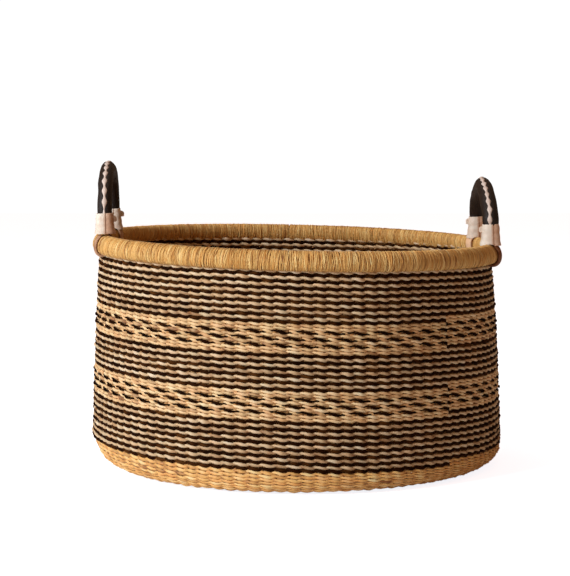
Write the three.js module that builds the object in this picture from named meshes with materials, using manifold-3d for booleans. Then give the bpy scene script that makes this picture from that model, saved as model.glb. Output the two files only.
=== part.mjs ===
// A round laundry basket of twined grass: a woven drum on stakes, a wrapped rim and two leather handles.
// Millimetres, +Z up. The origin is the centre of the underside, on the floor, and -Y is the front.

import * as THREE from 'three';
import { mergeVertices } from 'three/addons/utils/BufferGeometryUtils.js';
import Module from 'manifold-3d';

const wasm = await Module();
wasm.setup();

// Fits
const FIT = 0.3; // gap between pieces that touch
const LEG_PLAY = 3; // straight leg left above a collar before the handle bends

// Woven wall and base
const WALL_FOOT_RADIUS = 255; // outside of the wall, just above the rounded foot
const WALL_TAPER = 10; // how much smaller the wall's radius is at its top edge
const WALL_BULGE = 1; // swell of the wall's middle beyond a straight taper
const WALL_THICKNESS = 8;
const FOOT_ROUNDING = 26; // outside radius of the turn from the base into the wall
const COURSE_HEIGHT = 3.8; // one twined row
const COURSE_LEAN = 0.024; // fall of the hand-woven courses per millimetre towards +X

// Courses in each band of the wall, from the floor up
const FOOT_COURSES = 7;
const LOWER_STRIPE_COURSES = 15;
const LOWER_DASH_COURSES = 9;
const MIDDLE_STRIPE_COURSES = 11;
const UPPER_DASH_COURSES = 9;
const UPPER_STRIPE_COURSES = 17; // the top two lie inside the rim
const RIB_COURSES = 2; // a black and a natural course stand out together as one rib of a striped band
const GROOVE_WEB = 0.6; // weave left over a stake, under the groove between two ribs

// Stakes that the courses are twined round
const STAKE_COUNT = 34;
const STAKE_WIDTH = 4.4;
const STAKE_THICKNESS = 3;
const STAKE_STUB = 2; // length of stake that stands above the wall's top edge
const HUB_WEB = 1.2; // weave left between two stakes where they leave the hub
const HUB_SWELL = 0.8; // extra thickness of the hub, where the stakes cross

// Rim: a tilted oval bundle wound with straw, lower on the outside than on the inside
const RIM_HALF_WIDTH = 8.8;
const RIM_HALF_HEIGHT = 12.4;
const RIM_TILT = THREE.MathUtils.degToRad(22);
const RIM_SEAT = 8.8; // from the wall's top edge up to the rim's centre
const RIM_OVERHANG = 2; // from the wall's middle out to the rim's centre
const WRAP_THICKNESS = 2;

// Handles
const LEFT_HANDLE_RISE = 87; // top of the handle above the top of the rim
const RIGHT_HANDLE_RISE = 78;
const RIGHT_HANDLE_TURN = THREE.MathUtils.degToRad(1.7); // how far it sits towards the back
const LEG_STAKE_GAPS = 1.5; // from a handle's middle to each leg, so that a strap passes between two stakes
const CORE_RADIUS = 7.5;
const LEATHER_THICKNESS = 1.4;
const LACE_WIDTH = 5;
const LACE_THICKNESS = 1.2;
const COLLAR_HEIGHT = 23.5;
const COLLAR_THICKNESS = 1.4;
const COLLAR_LIFT = 2.2; // from the rim's top up to the collar
const TAB_REACH = 4.5;
const TAB_HEIGHT = 8;
const TAB_THICKNESS = 3;
const TAB_DROP = 6.5; // from the collar's top down to the tab's middle

// Straps that loop round the rim and carry the handles
const STRAP_WIDTH = 10;
const STRAP_THICKNESS = 3;
const STRAP_PLAY = 0.7; // least room between a strap's bore and the rim that it turns on
const NOTCH_PLAY = 1; // room round a strap where it passes through the wall

// Facets
const RING_FACETS = 52;
const RIM_FACETS = 10;
const STRAP_FACETS = 20;
const TUBE_FACETS = 10;
const FOOT_STEPS = 4;
const ARCH_STEPS = 10;
const TAB_FACETS = 4;

// Colours
const NATURAL_GRASS = 0xb98d57;
const STRIPED_GRASS = 0x6b5138;
const DASHED_GRASS = 0x93704a;
const STAKE_GRASS = 0xa98452;
const RIM_STRAW = 0xc0935a;
const BLACK_LEATHER = 0x1d1916;
const PALE_LEATHER = 0xd9c3b0;
const RAW_LEATHER = 0xdcb896;

// Places worked out from the sizes above
const WALL_TOP_RADIUS = WALL_FOOT_RADIUS - WALL_TAPER;
const BASE_RADIUS = WALL_FOOT_RADIUS - FOOT_ROUNDING;
const BANDS = [
  { name: 'foot_band', courses: FOOT_COURSES, colour: NATURAL_GRASS },
  { name: 'lower_stripe_band', courses: LOWER_STRIPE_COURSES, colour: STRIPED_GRASS, ribbed: true },
  { name: 'lower_dash_band', courses: LOWER_DASH_COURSES, colour: DASHED_GRASS },
  { name: 'middle_stripe_band', courses: MIDDLE_STRIPE_COURSES, colour: STRIPED_GRASS, ribbed: true },
  { name: 'upper_dash_band', courses: UPPER_DASH_COURSES, colour: DASHED_GRASS },
  { name: 'upper_stripe_band', courses: UPPER_STRIPE_COURSES, colour: STRIPED_GRASS, ribbed: true },
];
const BAND_TOPS = BANDS.map((_, last) => bandHeight(last + 1));
const FOOT_TOP = BAND_TOPS[0];
const WALL_TOP = BAND_TOPS.at(-1);
const STAKE_PITCH = (2 * Math.PI) / STAKE_COUNT;
const GROOVE_DEPTH = (WALL_THICKNESS - STAKE_THICKNESS) / 2 - FIT - GROOVE_WEB;
const HUB_RADIUS = (STAKE_WIDTH + 2 * FIT + HUB_WEB) / STAKE_PITCH;
const RIM_Z = WALL_TOP + RIM_SEAT;
const RIM_RADIUS = WALL_TOP_RADIUS - WALL_THICKNESS / 2 + RIM_OVERHANG;
const RIM_REACH = ovalReach(RIM_HALF_WIDTH, RIM_HALF_HEIGHT);
const LEG_TURN = LEG_STAKE_GAPS * STAKE_PITCH;
const LEG_OFFSET = RIM_RADIUS * Math.sin(LEG_TURN);
const HANDLE_DISTANCE = RIM_RADIUS * Math.cos(LEG_TURN);
const STRAP_BORE = (rimSweep() + STRAP_PLAY) / Math.cos(Math.PI / STRAP_FACETS);
const STRAP_RADIUS = STRAP_BORE + STRAP_THICKNESS;
const LEG_FOOT = STRAP_RADIUS + FIT;
const COLLAR_FOOT = RIM_REACH + COLLAR_LIFT;
const COLLAR_TOP = COLLAR_FOOT + COLLAR_HEIGHT;
const SLEEVE_BORE = CORE_RADIUS + FIT;
const SLEEVE_RADIUS = SLEEVE_BORE + LEATHER_THICKNESS;
const COLLAR_BORE = SLEEVE_RADIUS + FIT;
const COLLAR_RADIUS = COLLAR_BORE + COLLAR_THICKNESS;
const HANDLES = [
  { side: 'right', turn: RIGHT_HANDLE_TURN, rise: RIGHT_HANDLE_RISE },
  { side: 'left', turn: Math.floor(STAKE_COUNT / 2) * STAKE_PITCH, rise: LEFT_HANDLE_RISE },
];
const LEGS = [-1, 1]; // the two legs' sides of a handle's middle

// Height of the first few bands together
function bandHeight(count) {
  return BANDS.slice(0, count).reduce((height, band) => height + band.courses * COURSE_HEIGHT, 0);
}

// How far a tilted oval reaches above and below its centre
function ovalReach(halfWidth, halfHeight) {
  return Math.hypot(halfHeight * Math.cos(RIM_TILT), halfWidth * Math.sin(RIM_TILT));
}

// How far the rim reaches from the hinge line inside a strap, through which it runs askew
function rimSweep() {
  const skew = (STRAP_WIDTH / 2) * Math.tan(LEG_TURN);
  const oval = tiltedOval(RIM_HALF_WIDTH, RIM_HALF_HEIGHT, RIM_FACETS);
  const reaches = oval.map((point) => Math.hypot(Math.abs(point.x) / Math.cos(LEG_TURN) + skew, point.y));
  return Math.max(...reaches);
}

// Radius of the wall at a height, a distance inside its outer surface: first the foot's turn, then the taper
function wallRadius(z, inset) {
  if (z < FOOT_ROUNDING) {
    const radius = FOOT_ROUNDING - inset;
    const drop = FOOT_ROUNDING - z;
    return BASE_RADIUS + Math.sqrt(radius * radius - drop * drop);
  }
  const share = (z - FOOT_ROUNDING) / (WALL_TOP - FOOT_ROUNDING);
  const swell = 4 * WALL_BULGE * share * (1 - share);
  return THREE.MathUtils.lerp(WALL_FOOT_RADIUS, WALL_TOP_RADIUS, share) + swell - inset;
}

// How far the lean of the courses lifts a point of the basket; the base stays level
function leanAt(x, z) {
  const share = THREE.MathUtils.clamp((z - WALL_THICKNESS) / (FOOT_TOP - WALL_THICKNESS), 0, 1);
  return -COURSE_LEAN * x * share;
}

// The geometry with the lean of the courses
function leaned(geometry) {
  const { position } = geometry.attributes;
  for (let i = 0; i < position.count; i += 1) {
    const z = position.getZ(i);
    position.setZ(i, z + leanAt(position.getX(i), z));
  }
  return geometry;
}

// A closed geometry as a solid that can be joined and cut
function toSolid(geometry) {
  const bare = geometry.clone();
  bare.deleteAttribute('normal');
  bare.deleteAttribute('uv');
  const merged = mergeVertices(bare);
  return new wasm.Manifold(
    new wasm.Mesh({
      numProp: 3,
      vertProperties: new Float32Array(merged.attributes.position.array),
      triVerts: new Uint32Array(merged.index.array),
    }),
  );
}

// A solid as a geometry
function toGeometry(solid) {
  const mesh = solid.getMesh();
  const geometry = new THREE.BufferGeometry();
  geometry.setAttribute('position', new THREE.BufferAttribute(mesh.vertProperties, 3));
  geometry.setIndex(new THREE.BufferAttribute(mesh.triVerts, 1));
  return geometry;
}

// A named piece with its own material
function piece(name, geometry, color, roughness) {
  geometry.deleteAttribute('normal');
  geometry.computeVertexNormals();
  const mesh = new THREE.Mesh(geometry, new THREE.MeshStandardMaterial({ color, roughness, metalness: 0 }));
  mesh.name = name;
  return mesh;
}

// A ring turned from a closed profile of radius and height, counter-clockwise
function ring(profile) {
  return new THREE.LatheGeometry([...profile, profile[0]], RING_FACETS).rotateX(Math.PI / 2);
}

// A disc lying on a height
function disc(radius, thickness, bottom) {
  const geometry = new THREE.CylinderGeometry(radius, radius, thickness, RING_FACETS);
  return geometry.rotateX(Math.PI / 2).translate(0, 0, bottom + thickness / 2);
}

// Points of an oval with the rim's tilt: x leads away from the basket's axis, y leads up
function tiltedOval(halfWidth, halfHeight, facets) {
  const centre = new THREE.Vector2();
  return Array.from({ length: facets }, (_, i) => {
    const turn = (2 * Math.PI * i) / facets;
    const point = new THREE.Vector2(halfWidth * Math.cos(turn), halfHeight * Math.sin(turn));
    return point.rotateAround(centre, RIM_TILT);
  });
}

// Points of the turn from the base into the wall, a distance inside the outer surface
function footTurn(inset) {
  const radius = FOOT_ROUNDING - inset;
  return Array.from({ length: FOOT_STEPS + 1 }, (_, i) => {
    const turn = (Math.PI / 2) * (i / FOOT_STEPS - 1);
    return new THREE.Vector2(BASE_RADIUS + radius * Math.cos(turn), FOOT_ROUNDING + radius * Math.sin(turn));
  });
}

// Points on the wall at some rising heights, and on the foot's turn where it lies between them, a distance inside
// the outer surface
function wallLine(heights, inset) {
  const wall = heights.map((z) => new THREE.Vector2(wallRadius(z, inset), z));
  const between = ({ y }) => y > heights[0] && y < heights.at(-1) && !heights.includes(y);
  return [...footTurn(inset).filter(between), ...wall].sort((low, high) => low.y - high.y);
}

// The outside of a woven band: straight, or ribs of courses with a groove on both sides of each
function bandFace(bottom, top, ribs) {
  if (ribs === 0) return wallLine([bottom, top], 0);
  const step = (top - bottom) / (2 * ribs);
  return Array.from({ length: 2 * ribs + 1 }, (_, i) => {
    const inset = i % 2 === 0 ? GROOVE_DEPTH : 0;
    return wallLine([bottom + i * step], inset)[0];
  });
}

// One woven band between two heights
function bandRing(bottom, top, ribs) {
  return ring([...bandFace(bottom, top, ribs), ...wallLine([bottom, top], WALL_THICKNESS).reverse()]);
}

// The band that turns from the base into the wall
function footRing() {
  const outside = wallLine([0, FOOT_TOP], 0);
  const inside = wallLine([WALL_THICKNESS, FOOT_TOP], WALL_THICKNESS);
  return ring([...outside, ...inside.reverse()]);
}

// Outline of one stake in the plane through the basket's axis, from the hub to above the wall
function stakeOutline(grow) {
  const start = new THREE.Vector2(HUB_RADIUS - STAKE_THICKNESS, 0);
  const heights = [FOOT_TOP, WALL_TOP + STAKE_STUB + grow];
  const side = (offset) => {
    const inset = WALL_THICKNESS / 2 - offset;
    return [start.clone().setY(inset), ...wallLine([inset, ...heights], inset)];
  };
  const half = STAKE_THICKNESS / 2 + grow;
  return new THREE.Shape([...side(half), ...side(-half).reverse()]);
}

// The hub and all the stakes as one solid, grown by a clearance where it cuts the weave
function stakeSolid(grow) {
  const width = STAKE_WIDTH + 2 * grow;
  const stake = new THREE.ExtrudeGeometry(stakeOutline(grow), { depth: width, bevelEnabled: false });
  stake.translate(0, 0, -width / 2).rotateX(Math.PI / 2);
  const hubThickness = STAKE_THICKNESS + HUB_SWELL + 2 * grow;
  const hub = disc(HUB_RADIUS + grow, hubThickness, (WALL_THICKNESS - hubThickness) / 2);
  let joined = toSolid(hub);
  for (let i = 0; i < STAKE_COUNT; i += 1) {
    joined = joined.add(toSolid(stake.clone().rotateZ(i * STAKE_PITCH)));
  }
  return joined;
}

// The rim's own ring, a distance inside its outer surface
function rimRing(inset) {
  const oval = tiltedOval(RIM_HALF_WIDTH - inset, RIM_HALF_HEIGHT - inset, RIM_FACETS);
  return toSolid(ring(oval.map((point) => point.add(new THREE.Vector2(RIM_RADIUS, RIM_Z)))));
}

// The slot that the wall's top edge and the stakes' ends leave in the rim
function rimSlot() {
  const heights = [WALL_TOP - RIM_HALF_HEIGHT, WALL_TOP + STAKE_STUB + FIT];
  return toSolid(ring([...wallLine(heights, -FIT), ...wallLine(heights, WALL_THICKNESS + FIT).reverse()]));
}

// Moves a geometry from a handle's own frame to the basket's frame, before the courses lean
function toHandle(geometry, turn) {
  return geometry.translate(HANDLE_DISTANCE, 0, RIM_Z).rotateZ(turn);
}

// The notch in the wall's top edge that one strap passes through, in the handle's frame
function strapNotch(leg) {
  const depth = STRAP_RADIUS + NOTCH_PLAY;
  const geometry = new THREE.BoxGeometry(2 * depth, STRAP_WIDTH + 2 * NOTCH_PLAY, depth);
  return geometry.translate(0, leg * LEG_OFFSET, -depth / 2);
}

// One strap's loop round the hinge line in the handle's frame, grown by a clearance where it cuts the collar
function strapLoop(leg, grow) {
  const loop = new THREE.Shape(roundSection(STRAP_RADIUS + grow, STRAP_FACETS));
  loop.holes.push(new THREE.Path(roundSection(STRAP_BORE - grow, STRAP_FACETS)));
  const width = STRAP_WIDTH + 2 * grow;
  const geometry = new THREE.ExtrudeGeometry(loop, { depth: width, bevelEnabled: false });
  return geometry.translate(0, 0, -width / 2).rotateX(Math.PI / 2).translate(0, leg * LEG_OFFSET, 0);
}

// A line through given stations in the plane of a handle, which a tube follows station by station
class StationLine extends THREE.Curve {
  constructor(stations) {
    super();
    this.stations = stations;
  }

  getPoint(t) {
    const place = THREE.MathUtils.clamp(t, 0, 1) * (this.stations.length - 1);
    const before = Math.min(Math.floor(place), this.stations.length - 2);
    return this.stations[before].clone().lerp(this.stations[before + 1], place - before);
  }

  getPointAt(u) {
    return this.getPoint(u);
  }

  // Frames whose normals point to the outside of the arch
  computeFrenetFrames(segments) {
    const across = new THREE.Vector3(1, 0, 0);
    const tangents = Array.from({ length: segments + 1 }, (_, i) => this.getTangent(i / segments));
    const normals = tangents.map((tangent) => across.clone().cross(tangent));
    return { tangents, normals, binormals: tangents.map(() => across) };
  }
}

// A section carried along stations; its x points to the outside of the handle's arch
function sweep(shape, stations) {
  const options = { steps: stations.length - 1, extrudePath: new StationLine(stations), bevelEnabled: false };
  return new THREE.ExtrudeGeometry(shape, options);
}

// Corners of a round section
function roundSection(radius, facets) {
  return Array.from({ length: facets }, (_, i) => {
    const turn = (2 * Math.PI * i) / facets;
    return new THREE.Vector2(radius * Math.cos(turn), radius * Math.sin(turn));
  });
}

// A round tube along stations, solid where it has no bore
function tube(stations, radius, bore) {
  const shape = new THREE.Shape(roundSection(radius, TUBE_FACETS));
  if (bore > 0) shape.holes.push(new THREE.Path(roundSection(bore, TUBE_FACETS)));
  return sweep(shape, stations);
}

// The handle's centre line: up the front leg, over the arch and down the back leg
function handleStations(rise) {
  const spring = COLLAR_TOP + LEG_PLAY;
  const crown = RIM_REACH + rise - SLEEVE_RADIUS - spring;
  const arch = Array.from({ length: ARCH_STEPS + 1 }, (_, i) => {
    const turn = (Math.PI * i) / ARCH_STEPS;
    return new THREE.Vector3(0, -LEG_OFFSET * Math.cos(turn), spring + crown * Math.sin(turn));
  });
  const front = new THREE.Vector3(0, -LEG_OFFSET, LEG_FOOT);
  const back = new THREE.Vector3(0, LEG_OFFSET, LEG_FOOT);
  return [front, ...arch, back];
}

// The flat lace along the outside of the arch, between the collars
function laceStrip(stations) {
  const bottom = SLEEVE_RADIUS + FIT;
  const half = LACE_WIDTH / 2;
  const section = new THREE.Shape([
    new THREE.Vector2(bottom, -half),
    new THREE.Vector2(bottom + LACE_THICKNESS, -half),
    new THREE.Vector2(bottom + LACE_THICKNESS, half),
    new THREE.Vector2(bottom, half),
  ]);
  return sweep(section, stations.slice(1, -1));
}

// A collar bound round the foot of one leg, cut where the strap comes out of it
function collar(leg) {
  const y = leg * LEG_OFFSET;
  const stations = [new THREE.Vector3(0, y, COLLAR_FOOT), new THREE.Vector3(0, y, COLLAR_TOP)];
  const bound = toSolid(tube(stations, COLLAR_RADIUS, COLLAR_BORE));
  return toGeometry(bound.subtract(toSolid(strapLoop(leg, FIT))));
}

// The tab that ends a collar, on its side towards the basket's inside
function collarTab(leg) {
  const outline = Array.from({ length: TAB_FACETS + 1 }, (_, i) => {
    const turn = Math.PI * (0.5 + i / TAB_FACETS);
    return new THREE.Vector2(TAB_REACH * Math.cos(turn), (TAB_HEIGHT / 2) * Math.sin(turn));
  });
  const options = { depth: TAB_THICKNESS, bevelEnabled: false };
  const geometry = new THREE.ExtrudeGeometry(new THREE.Shape(outline), options);
  geometry.translate(0, 0, -TAB_THICKNESS / 2).rotateX(Math.PI / 2);
  return geometry.translate(-COLLAR_RADIUS - FIT, leg * LEG_OFFSET, COLLAR_TOP - TAB_DROP);
}

// The woven drum: base, bands, stakes and rim
function makeBasket() {
  const group = new THREE.Group();
  const add = (name, solid, colour) => group.add(piece(name, leaned(toGeometry(solid)), colour, 0.85));
  const stakes = stakeSolid(0);
  const stakeBore = stakeSolid(FIT);
  add('base_weave', toSolid(disc(BASE_RADIUS - FIT, WALL_THICKNESS, 0)).subtract(stakeBore), NATURAL_GRASS);
  BANDS.forEach((band, i) => {
    const ribs = band.ribbed ? Math.floor(band.courses / RIB_COURSES) : 0;
    const blank = i === 0 ? footRing() : bandRing(BAND_TOPS[i - 1] + FIT, BAND_TOPS[i], ribs);
    let weave = toSolid(blank).subtract(stakeBore);
    if (i === BANDS.length - 1) {
      HANDLES.forEach(({ turn }) => {
        LEGS.forEach((leg) => {
          weave = weave.subtract(toSolid(toHandle(strapNotch(leg), turn)));
        });
      });
    }
    add(band.name, weave, band.colour);
  });
  add('stake_cage', stakes, STAKE_GRASS);
  add('rim_core', rimRing(WRAP_THICKNESS + FIT).subtract(rimSlot()), STAKE_GRASS);
  add('rim_wrapping', rimRing(0).subtract(rimRing(WRAP_THICKNESS)).subtract(rimSlot()), RIM_STRAW);
  return group;
}

// One handle in its own frame: x away from the basket, y along the hinge line through the rim
function makeHandle({ side, turn, rise }) {
  const group = new THREE.Group();
  const stations = handleStations(rise);
  const add = (name, geometry, colour, roughness) =>
    group.add(piece(`${side}_${name}`, geometry, colour, roughness));
  add('handle_core', tube(stations, CORE_RADIUS, 0), STAKE_GRASS, 0.9);
  add('handle_leather', tube(stations, SLEEVE_RADIUS, SLEEVE_BORE), BLACK_LEATHER, 0.5);
  add('handle_lacing', laceStrip(stations), PALE_LEATHER, 0.7);
  LEGS.forEach((leg) => {
    const end = leg * Math.cos(turn) < 0 ? 'front' : 'back';
    add(`${end}_collar`, collar(leg), RAW_LEATHER, 0.75);
    add(`${end}_collar_tab`, collarTab(leg), RAW_LEATHER, 0.75);
    add(`${end}_rim_strap`, strapLoop(leg, 0), RAW_LEATHER, 0.75);
  });
  const x = HANDLE_DISTANCE * Math.cos(turn);
  group.position.set(x, HANDLE_DISTANCE * Math.sin(turn), RIM_Z + leanAt(x, RIM_Z));
  group.rotation.z = turn;
  return group;
}

const basket = new THREE.Group();
basket.add(makeBasket(), ...HANDLES.map(makeHandle));

export default basket;
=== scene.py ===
"""Looks of a round laundry basket: twined grass strands, a wound rim and two laced leather handles.

Metres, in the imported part's own frame: +Z up, the floor at 0 and -Y the front. An angle round the basket is
called a turn: it is 0 at the front and grows towards the right, +X.
"""

import logging
import math
from dataclasses import dataclass, field
from enum import Enum
from functools import cache
from itertools import pairwise

import bpy
import numpy as np
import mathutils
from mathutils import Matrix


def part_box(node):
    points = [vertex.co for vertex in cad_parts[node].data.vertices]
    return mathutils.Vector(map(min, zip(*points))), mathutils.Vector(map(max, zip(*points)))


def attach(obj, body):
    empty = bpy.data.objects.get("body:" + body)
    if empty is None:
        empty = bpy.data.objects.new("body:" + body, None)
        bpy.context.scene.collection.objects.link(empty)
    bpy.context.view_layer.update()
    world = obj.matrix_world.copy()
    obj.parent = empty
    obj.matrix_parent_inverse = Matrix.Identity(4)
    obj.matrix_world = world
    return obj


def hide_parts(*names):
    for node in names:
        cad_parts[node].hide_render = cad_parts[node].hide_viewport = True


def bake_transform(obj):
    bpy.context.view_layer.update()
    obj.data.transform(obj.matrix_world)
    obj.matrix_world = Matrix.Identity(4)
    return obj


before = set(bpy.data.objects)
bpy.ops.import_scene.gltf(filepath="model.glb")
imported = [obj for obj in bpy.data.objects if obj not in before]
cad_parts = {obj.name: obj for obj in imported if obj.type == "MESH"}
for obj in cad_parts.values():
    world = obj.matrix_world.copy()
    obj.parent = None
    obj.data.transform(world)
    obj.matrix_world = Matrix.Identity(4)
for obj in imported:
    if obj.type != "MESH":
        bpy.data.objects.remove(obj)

LOG = logging.getLogger("laundry_basket")
BASKET = "basket"
FULL_TURN = 2 * math.pi
Colour = tuple[float, float, float, float]
Vector = tuple[float, float, float]
Array = np.ndarray
Piece = bpy.types.Object
Material = bpy.types.Material
Node, NodeTree, Socket = bpy.types.Node, bpy.types.NodeTree, bpy.types.NodeSocket


def paint(red: int, green: int, blue: int) -> Colour:
    """A colour as a painter's 0 to 255 values, made linear for the shaders.

    Args:
        red: Red, from 0 to 255.
        green: Green, from 0 to 255.
        blue: Blue, from 0 to 255.

    Returns:
        The linear colour with full opacity.
    """
    shares = [value / 255 for value in (red, green, blue)]
    linear = [s / 12.92 if s <= 0.04045 else ((s + 0.055) / 1.055) ** 2.4 for s in shares]
    return (*linear, 1.0)


def wander(rng: np.random.Generator, turn: Array, waves: range, size: float) -> Array:
    """A smooth drift round the basket that ends where it starts.

    Args:
        rng: Source of the waves' sizes and places.
        turn: Angles round the basket.
        waves: How often each wave repeats round the basket.
        size: About how far the drift goes to each side.

    Returns:
        The drift at each angle.
    """
    total = np.zeros_like(turn)
    for repeats in waves:
        total += rng.normal() * np.sin(repeats * turn + rng.uniform(0, FULL_TURN))
    return total * size / math.sqrt(len(waves))


def stitch_values(rng: np.random.Generator, along: Array, spread: float) -> Array:
    """A random value for each stitch, which fades into the next stitch's between them.

    Args:
        rng: Source of the values.
        along: Places along a strand, counted in stitches.
        spread: Standard deviation of the values.

    Returns:
        The value at each place.
    """
    values = rng.normal(0, spread, int(np.ceil(along.max())) + 2)
    before = np.floor(along).astype(int)
    share = np.sin((along - before) * math.pi / 2) ** 2
    return values[before] * (1 - share) + values[before + 1] * share


class Workbench:
    """Hand tools that every piece is made with."""

    @staticmethod
    def clear() -> None:
        """Deselects everything, so that an operator meets only the next piece."""
        bpy.ops.object.select_all(action="DESELECT")

    @staticmethod
    def edit() -> None:
        """Opens the active object in edit mode with everything selected."""
        bpy.ops.object.mode_set(mode="EDIT")
        bpy.ops.mesh.select_mode(type="VERT")
        bpy.ops.mesh.select_all(action="SELECT")

    @staticmethod
    def close() -> None:
        """Turns all faces of the object in edit mode outwards and leaves edit mode."""
        bpy.ops.mesh.select_all(action="SELECT")
        bpy.ops.mesh.normals_make_consistent(inside=False)
        bpy.ops.object.mode_set(mode="OBJECT")

    @staticmethod
    def apply(piece: Piece, kind: str, **settings: object) -> None:
        """Adds a modifier with some settings and applies it.

        Args:
            piece: The object, which is the active one.
            kind: The modifier's type.
            settings: Values of the modifier's properties.
        """
        modifier = piece.modifiers.new(kind.title(), kind)
        for name, value in settings.items():
            setattr(modifier, name, value)
        bpy.ops.object.modifier_apply(modifier=modifier.name)

    @staticmethod
    def points_of(piece: Piece) -> Array:
        """Reads where the piece's vertices are.

        Args:
            piece: The object.

        Returns:
            Rows of x, y and z.
        """
        flat = np.empty(len(piece.data.vertices) * 3)
        piece.data.vertices.foreach_get("co", flat)
        return flat.reshape(-1, 3)

    @staticmethod
    def set_points(piece: Piece, points: Array) -> None:
        """Moves the piece's vertices to rows of x, y and z."""
        piece.data.vertices.foreach_set("co", points.ravel())
        piece.data.update()

    @staticmethod
    def tint(piece: Piece, tone: Array) -> None:
        """Gives each vertex of the piece its tone."""
        attribute = piece.data.attributes.new("tone", "FLOAT", "POINT")
        attribute.data.foreach_set("value", tone)

    @staticmethod
    def finish(
        piece: Piece, name: str, finish: "Finish", slot: str, node: str, body: str | None = None
    ) -> None:
        """Names and dresses a finished piece, hides the solid that it stands for and hangs it on what carries
        it.

        Args:
            piece: The finished object.
            name: Its name.
            finish: Its finish.
            slot: The record's material slot that the finish belongs to; not used.
            node: The CAD node that it stands for.
            body: The body that it rides on, or None to leave it on no body.
        """
        piece.name = name
        piece.data.name = name
        piece.data.materials.clear()
        piece.data.materials.append(finish.material())
        piece.data.polygons.foreach_set("use_smooth", [True] * len(piece.data.polygons))
        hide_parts(node)
        if body is not None:
            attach(piece, body)
        LOG.info("%s: %d faces", name, len(piece.data.polygons))


@dataclass(frozen=True)
class Station:
    """One ring of a straight strand: its place and its half sizes. Out is towards -Y and up towards +Z."""

    along: float
    half_depth: float
    half_height: float
    out: float = 0.0
    up: float = 0.0


@dataclass(frozen=True)
class StraightStrand:
    """A straight strand along +X, ready to be bent into place: its vertices and its faces' corners."""

    points: Array
    corners: Array
    starts: Array

    @classmethod
    def model(cls, stations: list[Station], sides: int, copies: int) -> "StraightStrand":
        """Models one length of strand ring by ring and sets copies of it end to end.

        Args:
            stations: The rings of one length, from its start to its end.
            sides: Corners of each ring.
            copies: How many lengths the strand has.

        Returns:
            The whole strand, closed at both ends.
        """
        Workbench.clear()
        first, last = stations[0], stations[-1]
        bpy.ops.mesh.primitive_circle_add(vertices=sides, radius=1, rotation=(0, math.pi / 2, 0))
        strand = bpy.context.object
        bpy.ops.object.transform_apply(location=True, rotation=True, scale=True)
        Workbench.edit()
        bpy.ops.transform.resize(value=(1, first.half_depth, first.half_height), center_override=(0, 0, 0))
        bpy.ops.transform.translate(value=(first.along, -first.out, first.up))
        for before, after in pairwise(stations):
            step = (after.along - before.along, before.out - after.out, after.up - before.up)
            bpy.ops.mesh.extrude_region_move(TRANSFORM_OT_translate={"value": step})
            change = (1, after.half_depth / before.half_depth, after.half_height / before.half_height)
            bpy.ops.transform.resize(value=change, center_override=(after.along, -after.out, after.up))
        bpy.ops.object.mode_set(mode="OBJECT")
        length = last.along - first.along
        Workbench.apply(
            strand,
            "ARRAY",
            count=copies,
            use_relative_offset=False,
            use_constant_offset=True,
            constant_offset_displace=(length, 0, 0),
            use_merge_vertices=True,
            merge_threshold=first.half_depth / 100,
        )
        Workbench.edit()
        bpy.ops.mesh.fill_holes(sides=sides)
        Workbench.close()
        mesh = strand.data
        corners = np.empty(len(mesh.loops), dtype=np.int32)
        mesh.loops.foreach_get("vertex_index", corners)
        starts = np.empty(len(mesh.polygons), dtype=np.int32)
        mesh.polygons.foreach_get("loop_start", starts)
        points = Workbench.points_of(strand)
        bpy.data.objects.remove(strand)
        return cls(points, corners, starts)

    @classmethod
    def even(
        cls, half_depth: float, half_height: float, sides: int, steps: int, length: int = 1
    ) -> "StraightStrand":
        """Models a strand that is equally thick all along.

        Args:
            half_depth: Half its depth.
            half_height: Half its height.
            sides: Corners of each ring.
            steps: Rings in each unit of its length.
            length: Its length.

        Returns:
            The strand.
        """
        stations = [Station(i / steps, half_depth, half_height) for i in range(2)]
        return cls.model(stations, sides, steps * length)


@dataclass
class Bundle:
    """Bent strands gathered into one piece, each with its tone and its fibre's own coordinates."""

    points: list[Array] = field(default_factory=list)
    corners: list[Array] = field(default_factory=list)
    starts: list[Array] = field(default_factory=list)
    tones: list[Array] = field(default_factory=list)
    fibres: list[Array] = field(default_factory=list)
    point_count: int = 0
    corner_count: int = 0

    def add(self, strand: StraightStrand, points: Array, tone: Array, fibre: Array) -> None:
        """Adds one bent copy of a strand.

        Args:
            strand: The straight strand.
            points: Where its vertices lie once it is bent.
            tone: How pale each vertex is, about 0 to 1.
            fibre: Coordinates that run along the strand in x and across it in y and z.
        """
        self.points.append(points)
        self.corners.append(strand.corners + self.point_count)
        self.starts.append(strand.starts + self.corner_count)
        self.tones.append(tone)
        self.fibres.append(fibre)
        self.point_count += len(points)
        self.corner_count += len(strand.corners)

    def make(self) -> Piece:
        """Makes one object of all the strands.

        Returns:
            The object, with the tone and the fibre coordinates as attributes.
        """
        mesh = bpy.data.meshes.new("bundle")
        mesh.vertices.add(self.point_count)
        mesh.vertices.foreach_set("co", np.concatenate(self.points).ravel())
        mesh.loops.add(self.corner_count)
        mesh.loops.foreach_set("vertex_index", np.concatenate(self.corners))
        starts = np.concatenate(self.starts)
        mesh.polygons.add(len(starts))
        mesh.polygons.foreach_set("loop_start", starts)
        mesh.update(calc_edges=True)
        piece = bpy.data.objects.new("bundle", mesh)
        bpy.context.scene.collection.objects.link(piece)
        Workbench.tint(piece, np.concatenate(self.tones))
        fibre = mesh.attributes.new("fibre", "FLOAT_VECTOR", "POINT")
        fibre.data.foreach_set("vector", np.concatenate(self.fibres).ravel())
        return piece

    def finish(self, name: str, finish: "Finish", slot: str, node: str) -> None:
        """Makes one piece of all the strands and sets it on the basket."""
        Workbench.finish(self.make(), name, finish, slot, node, BASKET)


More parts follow.
